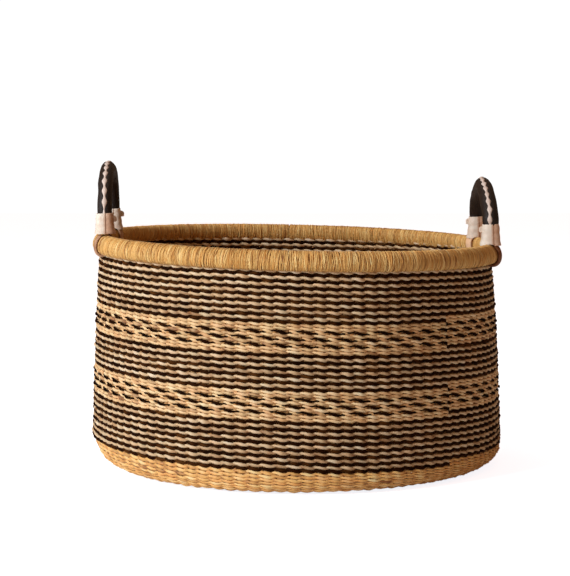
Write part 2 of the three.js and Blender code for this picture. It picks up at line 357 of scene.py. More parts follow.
@dataclass
class NodeSheet:
    """A short way to add and link shader nodes in one tree."""

    tree: NodeTree

    def add(self, kind: str, **settings: object) -> Node:
        """Adds a node with some properties.

        Args:
            kind: The node's type.
            settings: Values of the node's properties.

        Returns:
            The new node.
        """
        node = self.tree.nodes.new(kind)
        for name, value in settings.items():
            setattr(node, name, value)
        return node

    def link(self, source: Socket, target: Socket) -> None:
        """Links an output to an input."""
        self.tree.links.new(source, target)

    def math(self, operation: str, first: object, second: object, clamp: bool = False) -> Socket:
        """A calculation on two values, each a number or an output.

        Args:
            operation: What is done to the two values.
            first: The first value.
            second: The second value.
            clamp: Whether the result stays between 0 and 1.

        Returns:
            The result's output.
        """
        node = self.add("ShaderNodeMath", operation=operation, use_clamp=clamp)
        for socket, value in zip(node.inputs, (first, second)):
            if isinstance(value, Socket):
                self.link(value, socket)
            else:
                socket.default_value = value
        return node.outputs[0]

    def line(self, value: Socket, factor: float, offset: float) -> Socket:
        """An output times a factor, plus an offset."""
        return self.math("ADD", self.math("MULTIPLY", value, factor), offset)

    def noise(self, vector: Socket, scale: float, detail: float) -> Socket:
        """Soft noise from 0 to 1 over some coordinates.

        Args:
            vector: The coordinates.
            scale: How fine the noise is.
            detail: How many finer octaves it has.

        Returns:
            The noise's output.
        """
        node = self.add("ShaderNodeTexNoise")
        node.inputs["Scale"].default_value = scale
        node.inputs["Detail"].default_value = detail
        self.link(vector, node.inputs["Vector"])
        return node.outputs["Fac"]

    def stretched_noise(self, vector: Socket, scale: Vector, detail: float) -> Socket:
        """Soft noise that is finer along some axes than along others.

        Args:
            vector: The coordinates.
            scale: How fine the noise is along x, y and z.
            detail: How many finer octaves it has.

        Returns:
            The noise's output.
        """
        node = self.add("ShaderNodeMapping")
        node.inputs["Scale"].default_value = scale
        self.link(vector, node.inputs["Vector"])
        return self.noise(node.outputs["Vector"], 1.0, detail)


class ShaderSheet(NodeSheet):
    """The nodes of one new material, with its Principled shader."""

    def __init__(self, name: str, gloss: float) -> None:
        """Starts the material.

        Args:
            name: The material's name.
            gloss: The shader's specular level.
        """
        self.material = bpy.data.materials.new(name)
        self.material.use_nodes = True
        super().__init__(self.material.node_tree)
        self.shader = self.tree.nodes["Principled BSDF"]
        self.shader.inputs["Specular IOR Level"].default_value = gloss

    def attribute(self, name: str, output: str) -> Socket:
        """One of the mesh's own attributes as an output."""
        return self.add("ShaderNodeAttribute", attribute_name=name).outputs[output]

    def ramp(self, share: Socket, first: Colour, last: Colour, middle: Colour | None = None) -> Socket:
        """A colour that changes with an output.

        Args:
            share: The output, from 0 to 1.
            first: The colour at 0.
            last: The colour at 1.
            middle: The colour half way, or None for an even change.

        Returns:
            The colour's output.
        """
        node = self.add("ShaderNodeValToRGB")
        elements = node.color_ramp.elements
        elements[0].color = first
        elements[1].color = last
        if middle is not None:
            elements.new(0.5).color = middle
        self.link(share, node.inputs["Fac"])
        return node.outputs["Color"]

    def surface(self, colour: Socket, group: Node, relief: float, depth: float) -> Material:
        """Gives the shader its colour, and its roughness and relief from a shared group.

        Args:
            colour: The colour's output.
            group: The group's node, with the outputs Roughness and Height.
            relief: How strong the relief is.
            depth: How deep it is.

        Returns:
            The finished material.
        """
        bump = self.add("ShaderNodeBump")
        bump.inputs["Strength"].default_value = relief
        bump.inputs["Distance"].default_value = depth
        self.link(group.outputs["Height"], bump.inputs["Height"])
        self.link(bump.outputs["Normal"], self.shader.inputs["Normal"])
        self.link(colour, self.shader.inputs["Base Color"])
        self.link(group.outputs["Roughness"], self.shader.inputs["Roughness"])
        return self.material


class SharedGroups:
    """Effects that more than one finish uses, each built once as a node group."""

    fibre_scale: Vector = (90, 2600, 2600)
    stain_scale: Vector = (60, 160, 160)
    hue_scale: Vector = (34, 34, 34)
    stain: float = 0.7
    hue_start: float = 0.36
    hue_contrast: float = 3.6
    crease_scale: float = 210.0
    rub_scale: float = 75.0

    @staticmethod
    def start(name: str, inputs: dict[str, str], outputs: tuple[str, ...]) -> tuple[NodeSheet, Node, Node]:
        """Starts a group with its sockets.

        Args:
            name: The group's name.
            inputs: Type of each input by name.
            outputs: Names of the outputs, which are all values.

        Returns:
            The group's node sheet, its input node and its output node.
        """
        tree = bpy.data.node_groups.new(name, "ShaderNodeTree")
        for socket, kind in inputs.items():
            tree.interface.new_socket(socket, in_out="INPUT", socket_type=kind)
        for socket in outputs:
            tree.interface.new_socket(socket, in_out="OUTPUT", socket_type="NodeSocketFloat")
        sheet = NodeSheet(tree)
        return sheet, sheet.add("NodeGroupInput"), sheet.add("NodeGroupOutput")

    @classmethod
    @cache
    def straw_fibre(cls) -> NodeTree:
        """Fine streaks along a straw, over the straw's own tone.

        Returns:
            The group: Pale is 0 in the dark streaks and 1 in the pale ones, Blush is 1 where a straw dried
            to its other hue, and Height and Roughness follow the fibre.
        """
        inputs = {"Fibre": "NodeSocketVector", "Tone": "NodeSocketFloat", "Streaks": "NodeSocketFloat"}
        sheet, entry, leave = cls.start("straw_fibre", inputs, ("Pale", "Blush", "Height", "Roughness"))
        fibre = entry.outputs["Fibre"]
        fine = sheet.stretched_noise(fibre, cls.fibre_scale, detail=3.0)
        blotch = sheet.stretched_noise(fibre, cls.stain_scale, detail=2.0)
        hue = sheet.stretched_noise(fibre, cls.hue_scale, detail=1.0)
        streak = sheet.math("MULTIPLY", sheet.math("SUBTRACT", fine, 0.5), entry.outputs["Streaks"])
        stain = sheet.math("MULTIPLY", sheet.math("SUBTRACT", blotch, 0.5), cls.stain)
        pale = sheet.math("ADD", sheet.math("ADD", entry.outputs["Tone"], streak), stain, clamp=True)
        other = sheet.math("SUBTRACT", hue, cls.hue_start)
        blush = sheet.math("MULTIPLY", other, cls.hue_contrast, clamp=True)
        sheet.link(pale, leave.inputs["Pale"])
        sheet.link(blush, leave.inputs["Blush"])
        sheet.link(fine, leave.inputs["Height"])
        sheet.link(sheet.line(fine, factor=0.25, offset=0.45), leave.inputs["Roughness"])
        return sheet.tree

    @classmethod
    @cache
    def hide_grain(cls) -> NodeTree:
        """Pores, creases and handling marks of leather.

        Returns:
            The group: Worn is 1 where the hide is rubbed pale, and Height and Roughness follow the grain.
        """
        inputs = {"Place": "NodeSocketVector", "Pore Scale": "NodeSocketFloat"}
        sheet, entry, leave = cls.start("hide_grain", inputs, ("Worn", "Height", "Roughness"))
        pores = sheet.add("ShaderNodeTexVoronoi", feature="DISTANCE_TO_EDGE")
        sheet.link(entry.outputs["Place"], pores.inputs["Vector"])
        sheet.link(entry.outputs["Pore Scale"], pores.inputs["Scale"])
        pebble = sheet.math("MINIMUM", sheet.math("MULTIPLY", pores.outputs["Distance"], 4.0), 1.0)
        crease = sheet.noise(entry.outputs["Place"], cls.crease_scale, detail=4.0)
        rubbed = sheet.noise(entry.outputs["Place"], cls.rub_scale, detail=3.0)
        worn = sheet.math("ADD", sheet.math("MULTIPLY", rubbed, 0.7), sheet.math("MULTIPLY", crease, 0.5))
        sheet.link(sheet.math("SUBTRACT", worn, 0.1, clamp=True), leave.inputs["Worn"])
        sheet.link(sheet.math("ADD", sheet.math("MULTIPLY", pebble, 0.45), crease), leave.inputs["Height"])
        sheet.link(sheet.line(crease, factor=0.3, offset=0.33), leave.inputs["Roughness"])
        return sheet.tree


@dataclass(frozen=True)
class GrassFinish:
    """Dried grass or straw, plain or dyed, with streaks that follow each strand."""

    name: str
    dark: Colour
    middle: Colour
    pale: Colour
    blush: Colour = paint(250, 228, 216)
    streaks: float = 0.8
    relief: float = 0.35
    relief_depth: float = 0.0004
    gloss: float = 0.3
    sheen: float = 0.12
    sheen_roughness: float = 0.4

    def material(self) -> Material:
        """Builds the finish.

        Returns:
            The new material.
        """
        sheet = ShaderSheet(self.name, self.gloss)
        sheet.shader.inputs["Sheen Weight"].default_value = self.sheen
        sheet.shader.inputs["Sheen Roughness"].default_value = self.sheen_roughness
        group = sheet.add("ShaderNodeGroup", node_tree=SharedGroups.straw_fibre())
        group.inputs["Streaks"].default_value = self.streaks
        sheet.link(sheet.attribute("fibre", "Vector"), group.inputs["Fibre"])
        sheet.link(sheet.attribute("tone", "Fac"), group.inputs["Tone"])
        hue = sheet.add("ShaderNodeMix", data_type="RGBA", blend_type="MULTIPLY")
        hue.inputs["B"].default_value = self.blush
        sheet.link(group.outputs["Blush"], hue.inputs["Factor"])
        sheet.link(sheet.ramp(group.outputs["Pale"], self.dark, self.pale, self.middle), hue.inputs["A"])
        return sheet.surface(hue.outputs["Result"], group, self.relief, self.relief_depth)


@dataclass(frozen=True)
class HideFinish:
    """Leather with pores, creases and rubbed patches; a point's tone over 0.5 makes it paler and one under
    0.5 darker, which on the collars, tabs and straps is painted light and shade.
    """

    name: str
    deep: Colour
    rubbed: Colour
    pore_scale: float = 1100.0
    relief: float = 0.3
    relief_depth: float = 0.0005
    gloss: float = 0.4

    def material(self) -> Material:
        """Builds the finish.

        Returns:
            The new material.
        """
        sheet = ShaderSheet(self.name, self.gloss)
        group = sheet.add("ShaderNodeGroup", node_tree=SharedGroups.hide_grain())
        group.inputs["Pore Scale"].default_value = self.pore_scale
        sheet.link(sheet.add("ShaderNodeTexCoord").outputs["Object"], group.inputs["Place"])
        # A tone away from 0.5 is painted light and shade: it moves the hide towards its pale colour where it
        # should look lit, and towards its deep colour where it should look shaded.
        painted_light_bias = sheet.math("SUBTRACT", sheet.attribute("tone", "Fac"), 0.5)
        worn = sheet.math("ADD", group.outputs["Worn"], painted_light_bias, clamp=True)
        colour = sheet.ramp(worn, self.deep, self.rubbed)
        return sheet.surface(colour, group, self.relief, self.relief_depth)


class Finish(Enum):
    """Every finish on the basket."""

    PALE_GRASS = GrassFinish(
        "pale_grass",
        paint(140, 98, 58),
        paint(216, 190, 150),
        paint(242, 226, 198),
        blush=paint(252, 232, 216),
        sheen=0.06,
    )
    WARM_GRASS = GrassFinish(
        "warm_grass", paint(138, 88, 42), paint(238, 204, 148), paint(254, 234, 192), gloss=0.5
    )
    GOLD_GRASS = GrassFinish(
        "gold_grass", paint(136, 74, 22), paint(246, 194, 112), paint(255, 232, 172), gloss=0.5
    )
    DYED_GRASS = GrassFinish(
        "dyed_grass", paint(18, 6, 0), paint(40, 17, 3), paint(92, 56, 22), streaks=0.6, gloss=0.02, sheen=0.0
    )
    STAKE_STRAW = GrassFinish("stake_straw", paint(120, 80, 40), paint(190, 146, 90), paint(224, 186, 130))
    WOUND_STRAW = GrassFinish(
        "wound_straw",
        paint(126, 72, 22),
        paint(224, 182, 108),
        paint(250, 226, 162),
        blush=paint(246, 214, 178),
    )
    BLACK_HIDE = HideFinish("black_hide", paint(9, 7, 5), paint(48, 33, 25), relief=0.6, gloss=0.33)
    PALE_HIDE = HideFinish("pale_hide", paint(206, 178, 160), paint(240, 224, 212), relief=0.2)
    RAW_HIDE = HideFinish(
        "raw_hide", paint(206, 142, 94), paint(244, 230, 212), pore_scale=900.0, relief=0.35
    )
    TAN_HIDE = HideFinish(
        "tan_hide", paint(126, 70, 32), paint(250, 204, 162), pore_scale=900.0, relief=0.35
    )

    @cache
    def material(self) -> Material:
        """The finish's material, built the first time that it is asked for."""
        return self.value.material()


class Row(Enum):
    """How one twined row is coloured."""

    PLAIN = "both strands natural"
    BLACK = "both strands dyed"
    DASH = "one strand dyed, one natural"
    SHIFTED_DASH = "as a dash row, one stake further on"

    def dyed(self, second: bool) -> bool:
        """Whether the row's first or second strand is dyed.

        Args:
            second: True for the second strand.

        Returns:
            True where that strand is black.
        """
        if self is Row.DASH:
            return not second
        if self is Row.SHIFTED_DASH:
            return second
        return self is Row.BLACK

    def contrast(self, second: bool) -> int:
        """1 for a dash over a natural strand, -1 for that strand, and 0 for a strand like its partner."""
        return int(self.dyed(second)) - int(self.dyed(not second))


STRIPE_PAIR = (Row.BLACK, Row.PLAIN)
DASH_EDGE = (Row.PLAIN, Row.PLAIN)
DASH_MIDDLE = (Row.DASH, Row.PLAIN, Row.SHIFTED_DASH, Row.PLAIN, Row.DASH)


@dataclass(frozen=True)
class Band:
    """One band of the wall: the CAD node that it dresses and its rows from the bottom up."""

    node: str
    slot: str
    natural: Finish
    rows: tuple[Row, ...]
    fullness: float = 1.0

    @classmethod
    def striped(cls, node: str, count: int) -> "Band":
        """A band of black and natural rows in turn, black at its bottom edge."""
        rows = tuple(STRIPE_PAIR[i % len(STRIPE_PAIR)] for i in range(count))
        return cls(node, "striped_grass", Finish.PALE_GRASS, rows)

    @classmethod
    def dashed(cls, node: str) -> "Band":
        """A natural band with three rows of dashes."""
        rows = DASH_EDGE + DASH_MIDDLE + DASH_EDGE
        return cls(node, "dashed_grass", Finish.WARM_GRASS, rows, fullness=0.95)


@dataclass(frozen=True)
class DrumForm:
    """The middle surface of the weave: a flat base, a rounded foot and a wall that narrows upwards.

    The wall is drawn in a little under the rim at the right. The foot stands forward at the front and tucks
    in at the left.
    """

    foot_radius: float = 0.255
    taper: float = 0.010
    bulge: float = 0.001
    thickness: float = 0.008
    foot_rounding: float = 0.026
    foot_top: float = 0.0266
    wall_top: float = 0.2584
    lean: float = 0.024
    right_waist: float = 0.003
    foot_reach: float = 0.030
    foot_forward: float = 0.014
    left_tuck: float = 0.010

    @property
    def base_radius(self) -> float:
        """Radius of the base's flat part."""
        return self.foot_radius - self.foot_rounding

    @property
    def turn_radius(self) -> float:
        """Radius of the foot's turn in the middle of the weave."""
        return self.foot_rounding - self.thickness / 2

    @property
    def wall_start(self) -> float:
        """Run from the base's centre to the start of the wall."""
        return self.base_radius + self.turn_radius * math.pi / 2

    def run_at(self, height: float) -> float:
        """Run from the base's centre to a height of the wall."""
        return self.wall_start + height - self.foot_rounding

    def lifted(self, points: Array) -> Array:
        """Points with the lean of the hand-woven courses; the base stays level.

        Args:
            points: Rows of x, y and z before the lean.

        Returns:
            The leaning points.
        """
        share = np.clip((points[:, 2] - self.thickness) / (self.foot_top - self.thickness), 0, 1)
        leaning = points.copy()
        leaning[:, 2] -= self.lean * points[:, 0] * share
        return leaning

    def place(self, turn: Array, run: Array, proud: Array) -> Array:
        """Points on or near the middle surface of the weave.

        Args:
            turn: Angles round the basket.
            run: Distances along the surface from the base's centre.
            proud: Distances outside the surface.

        Returns:
            Rows of x, y and z.
        """
        bend = np.clip((run - self.base_radius) / self.turn_radius, 0, math.pi / 2)
        height = self.foot_rounding - self.turn_radius * np.cos(bend) + np.maximum(run - self.wall_start, 0)
        foot = np.minimum(run, self.base_radius) + self.turn_radius * np.sin(bend)
        share = (height - self.foot_rounding) / (self.wall_top - self.foot_rounding)
        wall = self.foot_radius - self.taper * share + 4 * self.bulge * share * (1 - share)
        drawn = self.right_waist * np.maximum(np.sin(turn), 0) ** 4 * np.clip(share, 0, 1) ** 3
        wall = wall - self.thickness / 2 - drawn
        radius = np.where(run > self.wall_start, wall, foot) + proud * np.sin(bend)
        low = np.clip(1 - height / self.foot_reach, 0, 1) * np.minimum(run / self.base_radius, 1) ** 2
        spread = self.foot_forward * np.maximum(np.cos(turn), 0) ** 2
        radius += low * (spread - self.left_tuck * np.maximum(-np.sin(turn), 0) ** 2)
        x, y = radius * np.sin(turn), -radius * np.cos(turn)
        return self.lifted(np.column_stack((x, y, height - proud * np.cos(bend))))


@dataclass
class WovenDrum:
    """The twined base and wall with their stakes."""

    # The rows, which climb from the jog, and the row numbers where the base's pieces part.
    form: DrumForm = field(default_factory=DrumForm)
    course: float = 0.0038
    jog: float = math.radians(44)
    rows_per_turn: int = 2
    foot_rows: int = 9
    base_split: tuple[int, ...] = (22, 37)
    back_sag: float = 0.0032

    # The stakes of the wall, and how many stand inside each distance from the base's centre.
    stakes: int = 104
    base_stakes: tuple[tuple[float, int], ...] = ((0.030, 12), (0.066, 26), (0.132, 52))
    hub_start: float = 0.006
    stake_half_depth: float = 0.0008
    stake_half_width: float = 0.0039
    stake_tone_spread: float = 0.12

    # A strand and its waves round the stakes: flat and tall over a stake, rounder in the waist between two.
    pitch: float = 0.015
    strand_steps: int = 8
    wave_out: float = 0.00225
    wave_up: float = 0.0008
    stitch_half_height: float = 0.00215
    stitch_half_depth: float = 0.0014
    waist_half_depth: float = 0.0017
    waist_half_height: float = 0.0015
    stitch_skew: float = 0.18
    foot_fullness: float = 0.9
    foot_flatness: float = 0.72

    # A dash, which stands out over its natural partner.
    dash_push: float = 0.0013
    dash_slimming: float = -0.03
    dash_taper: float = 0.35
    dash_tilt: float = 0.0006
    dash_dark: float = 0.35

    # Small faults of hand work.
    wall_drift: float = 0.0005
    row_drift: float = 0.00016
    stitch_swell: float = 0.07
    stitch_lift: float = 0.00014
    stitch_push: float = 0.00018

    # Tones, which change where a new strand is spliced in, and painted shade at each stitch's ends, where the
    # strand dives between two stakes.
    middle_tone: float = 0.58
    strand_tone_spread: float = 0.10
    splices: int = 12
    splice_stakes: int = 12
    end_shade: float = 0.2
    seed: int = 11
    strands: dict[int, StraightStrand] = field(default_factory=dict)

    bands: tuple[Band, ...] = (
        Band.striped("lower_stripe_band", 15),
        Band.dashed("lower_dash_band"),
        Band.striped("middle_stripe_band", 11),
        Band.dashed("upper_dash_band"),
        Band.striped("upper_stripe_band", 18),
    )

    def strand(self, stakes: int) -> StraightStrand:
        """The straight strand that passes a number of stakes, outside the first and inside the next.

        Args:
            stakes: How many stakes it passes, an even number.

        Returns:
            The strand, modelled the first time that it is asked for.
        """
        if stakes not in self.strands:
            slimming = self.waist_half_height - self.stitch_half_height
            flattening = self.stitch_half_depth - self.waist_half_depth
            stations = []
            for i in range(self.strand_steps + 1):
                phase = FULL_TURN * i / self.strand_steps
                over, past = math.cos(phase), math.sin(phase)
                half_height = self.stitch_half_height + slimming * abs(past)
                stations.append(
                    Station(
                        along=2 * self.pitch * i / self.strand_steps,
                        half_depth=self.waist_half_depth + flattening * abs(over),
                        half_height=half_height * (1 + self.stitch_skew * past * over),
                        out=self.wave_out * over,
                        up=-self.wave_up * past,
                    )
                )
            self.strands[stakes] = StraightStrand.model(stations, sides=6, copies=stakes // 2)
        return self.strands[stakes]

    def stakes_at(self, run: float) -> int:
        """How many stakes a row passes; stakes are added outwards from the base's centre."""
        return next((count for limit, count in self.base_stakes if run < limit), self.stakes)

    def lay(
        self, bundle: Bundle, run: float, second: bool, number: int, fullness: float, contrast: int = 0
    ) -> None:
        """Lays one strand of a row round the basket, from the jog back to the jog.

        Args:
            bundle: Where the strand goes.
            run: The row's distance along the surface from the base's centre, at the front.
            second: True for the strand that starts behind the first stake.
            number: The row's number, which sets its small faults.
            fullness: How thick the strand is; under 1 it leaves gaps between the rows.
            contrast: 1 for a slim dash that stands out over its partner, -1 for that partner, else 0.
        """
        rng = np.random.default_rng((self.seed, number, int(second)))
        shared = np.random.default_rng(self.seed)
        row = np.random.default_rng((self.seed, number))
        count = self.stakes_at(run)
        strand = self.strand(count)
        side = -1 if second else 1
        dash = max(contrast, 0)
        along = strand.points[:, 0] / self.pitch
        over, past = np.cos(along * math.pi), np.sin(along * math.pi)
        out = -strand.points[:, 1] * side
        up = strand.points[:, 2] * side
        turn = self.jog - FULL_TURN + FULL_TURN * along / count
        climb = -self.rows_per_turn * self.course * turn / FULL_TURN
        if run > self.form.base_radius:
            climb -= self.back_sag * np.maximum(-np.cos(turn), 0) ** 2
        free = np.clip(np.minimum(along, count - along) / 2, 0, 1)
        drift = wander(shared, turn, range(2, 9), self.wall_drift)
        drift += free * wander(row, turn, range(5, 30), self.row_drift)
        swell = fullness - self.dash_slimming * contrast - self.dash_taper * dash * past**2
        swell += free * stitch_values(rng, along, self.stitch_swell)
        lift = free * stitch_values(rng, along, self.stitch_lift)
        lift -= self.dash_tilt * abs(contrast) * side * past
        push = self.dash_push * contrast + free * stitch_values(rng, along, self.stitch_push)
        flatness = self.foot_flatness if run < self.form.run_at(self.form.foot_top) else 1
        proud = out * flatness * swell**2 + push
        points = self.form.place(turn, run + climb + drift + lift + up * swell, proud)
        splices = rng.normal(0, self.strand_tone_spread, self.splices)
        splice = splices[np.clip(along / self.splice_stakes, 0, self.splices - 1).astype(int)]
        tone = free * (splice + stitch_values(rng, along, self.strand_tone_spread))
        # end_shade is painted shade: it darkens each stitch's ends, where the strand dives between the
        # stakes.
        tone += self.middle_tone - self.dash_dark * dash - self.end_shade * past**2
        start = rng.uniform(0, 50)
        across = (out - self.wave_out * over * side, up + self.wave_up * past * side)
        bundle.add(strand, points, tone, np.column_stack((along * self.pitch + start, *across)))

    def build_wall(self) -> None:
        """Twines the patterned bands from the foot up, natural and dyed strands as separate pieces."""
        number = 0
        run = self.form.run_at(self.form.foot_top) + self.course / 2
        for band in self.bands:
            natural, dyed = Bundle(), Bundle()
            for row in band.rows:
                for second in (False, True):
                    bundle = dyed if row.dyed(second) else natural
                    self.lay(bundle, run, second, number, band.fullness, row.contrast(second))
                number += 1
                run += self.course
            natural.finish(f"{band.node}_natural_strands", band.natural, "natural_grass", band.node)
            dyed.finish(f"{band.node}_black_strands", Finish.DYED_GRASS, band.slot, band.node)

    def build_foot_and_base(self) -> None:
        """Twines the natural rows of the foot and, inside them, of the base."""
        foot, base = Bundle(), [Bundle() for _ in range(len(self.base_split) + 1)]
        run = self.form.run_at(self.form.foot_top) - self.course / 2
        number = 0
        while run > self.course:
            number += 1
            ring = sum(number > split for split in self.base_split)
            bundle = foot if number <= self.foot_rows else base[ring]
            for second in (False, True):
                self.lay(bundle, run, second, -number % 1000, self.foot_fullness)
            run -= self.course
        foot.finish("foot_strands", Finish.GOLD_GRASS, "natural_grass", "foot_band")
        for i, bundle in enumerate(base):
            bundle.finish(f"base_strands_{i + 1}", Finish.GOLD_GRASS, "natural_grass", "base_weave")

    def build_stakes(self) -> None:
        """Stands the stakes that the rows are twined round, and others between them that close the gaps."""
        strand = StraightStrand.even(self.stake_half_depth, self.stake_half_width, sides=4, steps=56)
        rng = np.random.default_rng(self.seed + 1)
        bundle = Bundle()
        top = self.form.run_at(self.form.wall_top)
        limits = [limit for limit, _ in self.base_stakes]
        starts = dict(zip((8, 4, 2, 1), (self.hub_start, *limits)))
        count = 2 * self.stakes
        for i in range(count):
            start = next(start for step, start in starts.items() if i % step == 0)
            run = start + (top - start) * strand.points[:, 0]
            middle = self.jog + FULL_TURN * i / count
            turn = middle - strand.points[:, 2] / np.clip(run, limits[0], self.form.base_radius)
            points = self.form.place(turn, run, -strand.points[:, 1])
            tone = np.full(len(points), 0.5 + rng.normal(0, self.stake_tone_spread))
            bundle.add(strand, points, tone, strand.points + (rng.uniform(0, 40), 0, 0))
        bundle.finish("stakes", Finish.STAKE_STRAW, "stake_grass", "stake_cage")

    def build(self) -> None:
        """Builds the whole drum."""
        self.build_foot_and_base()
        self.build_wall()
        self.build_stakes()


@dataclass(frozen=True)
class Winding:
    """One straw wound round and round the rim's bundle.

    Its outside lies sunk under the rim's outline, and it leans along the rim for each unit of height.
    """

    name: str
    turns: int
    half_width: float
    sunk: float
    slant: float


@dataclass
class WoundRim:
    """The rim: a bundle of grass wound closely with straw."""

    # The oval section, which tilts inwards and sits over the top of the wall, higher at the back.
    form: DrumForm = field(default_factory=DrumForm)
    half_width: float = 0.0088
    half_height: float = 0.0124
    tilt: float = math.radians(22)
    seat: float = 0.0088
    overhang: float = 0.002
    back_rise: float = 0.011

    # The straws, each a little uneven.
    straw_half_depth: float = 0.0006
    steps: int = 14
    width_spread: float = 0.15
    level_spread: float = 0.00022
    lean_spread: float = 0.048
    stray: float = 0.00045
    straw_tone_spread: float = 0.14
    fleck_tone_spread: float = 0.08

    # The bundle inside them.
    core_strands: int = 14
    core_half: float = 0.0022
    core_twist: int = 5
    core_tone_spread: float = 0.1
    seed: int = 23

    windings: tuple[Winding, ...] = (
        Winding("rim_close_winding", turns=900, half_width=0.00115, sunk=0.0005, slant=-0.02),
        Winding("rim_rising_winding", turns=675, half_width=0.0006, sunk=0.00015, slant=0.10),
        Winding("rim_falling_winding", turns=600, half_width=0.0006, sunk=0.00025, slant=-0.12),
    )

    @property
    def radius(self) -> float:
        """Radius of the rim's centre line."""
        return self.form.foot_radius - self.form.taper - self.form.thickness / 2 + self.overhang

    @property
    def height(self) -> float:
        """Height of the rim's centre line before the lean."""
        return self.form.wall_top + self.seat

    def place(self, turn: Array, across: Array, up: Array) -> Array:
        """Points of the rim from its tilted section.

        Args:
            turn: Angles round the basket.
            across: Distances outwards along the oval's short axis.
            up: Distances upwards along the oval's long axis.

        Returns:
            Rows of x, y and z.
        """
        radius = self.radius + across * math.cos(self.tilt) - up * math.sin(self.tilt)
        height = self.height + across * math.sin(self.tilt) + up * math.cos(self.tilt)
        y = -radius * np.cos(turn)
        return self.form.lifted(np.column_stack((radius * np.sin(turn), y, height + self.back_rise * y)))

    def top_at(self, out: Array) -> Array:
        """Height of the rim's outline over its centre line.

        Args:
            out: Distances outwards from the centre line, level with it.

        Returns:
            The height at each distance; past the outline, it goes on along the oval's leaning axis.
        """
        cos, sin = math.cos(self.tilt), math.sin(self.tilt)
        square = (sin / self.half_width) ** 2 + (cos / self.half_height) ** 2
        mixed = out * cos * sin * (self.half_width**-2 - self.half_height**-2)
        rest = out**2 * ((cos / self.half_width) ** 2 + (sin / self.half_height) ** 2) - 1
        return (np.sqrt(np.maximum(mixed**2 - square * rest, 0)) - mixed) / square

    def build_winding(self, winding: Winding) -> None:
        """Winds one straw round and round the bundle, all the way round the rim.

        Args:
            winding: How it is wound.
        """
        strand = StraightStrand.even(
            self.straw_half_depth, winding.half_width, sides=6, steps=self.steps, length=winding.turns
        )
        rng = np.random.default_rng((self.seed, winding.turns))
        along = strand.points[:, 0]
        width = 1 + stitch_values(rng, along, self.width_spread)
        level = stitch_values(rng, along * 2, self.level_spread) - winding.sunk
        level -= self.straw_half_depth + strand.points[:, 1]
        around = FULL_TURN * along
        base_turn = around / winding.turns
        lean = winding.slant + wander(rng, base_turn, range(3, 60), self.lean_spread)
        lean += stitch_values(rng, along, self.lean_spread)
        rise = np.sin(around)
        sideways = lean * rise * self.half_height + stitch_values(rng, along * 2, self.stray)
        turn = base_turn + (sideways - strand.points[:, 2] * width) / self.radius
        across = (self.half_width + level) * np.cos(around)
        up = (self.half_height + level) * rise
        tone = 0.5 + stitch_values(rng, along, self.straw_tone_spread)
        tone += stitch_values(rng, along * 4, self.fleck_tone_spread)
        length = FULL_TURN * (self.half_width + self.half_height) / 2
        bundle = Bundle()
        bundle.add(strand, self.place(turn, across, up), tone, strand.points * (length, 1, 1))
        bundle.finish(winding.name, Finish.WOUND_STRAW, "rim_straw", "rim_wrapping")

    def build_core(self) -> None:
        """Lays the strands of the bundle inside the winding, slowly twisting round each other."""
        strand = StraightStrand.even(self.core_half, self.core_half, sides=5, steps=120)
        rng = np.random.default_rng(self.seed + 1)
        bundle = Bundle()
        room = 2.5 * self.straw_half_depth + self.core_half
        turn = FULL_TURN * strand.points[:, 0]
        for i in range(self.core_strands):
            around = FULL_TURN * i / self.core_strands + self.core_twist * turn
            across = (self.half_width - room) * np.cos(around) - strand.points[:, 1]
            up = (self.half_height - room) * np.sin(around) + strand.points[:, 2]
            tone = np.full(len(turn), 0.5 + rng.normal(0, self.core_tone_spread))
            fibre = strand.points * (self.radius * FULL_TURN, 1, 1) + (rng.uniform(0, 40), 0, 0)
            bundle.add(strand, self.place(turn, across, up), tone, fibre)
        bundle.finish("rim_bundle", Finish.STAKE_STRAW, "stake_grass", "rim_core")

    def build(self) -> None:
        """Builds the bundle, a close winding and, half sunk in it, two thin ones that cross each other."""
        self.build_core()
        for winding in self.windings:
            self.build_winding(winding)


class Where(Enum):
    """A choice of places on the basket."""

    @property
    def word(self) -> str:
        """The place's name, as the CAD nodes spell it."""
        return self.name.lower()


class Side(Where):
    """Which side of the basket a handle is on, and which way is out from the basket there."""

    LEFT = -1
    RIGHT = 1


class End(Where):
    """Which end of a handle a leg stands at, and its sense along Y."""

    FRONT = -1
    BACK = 1


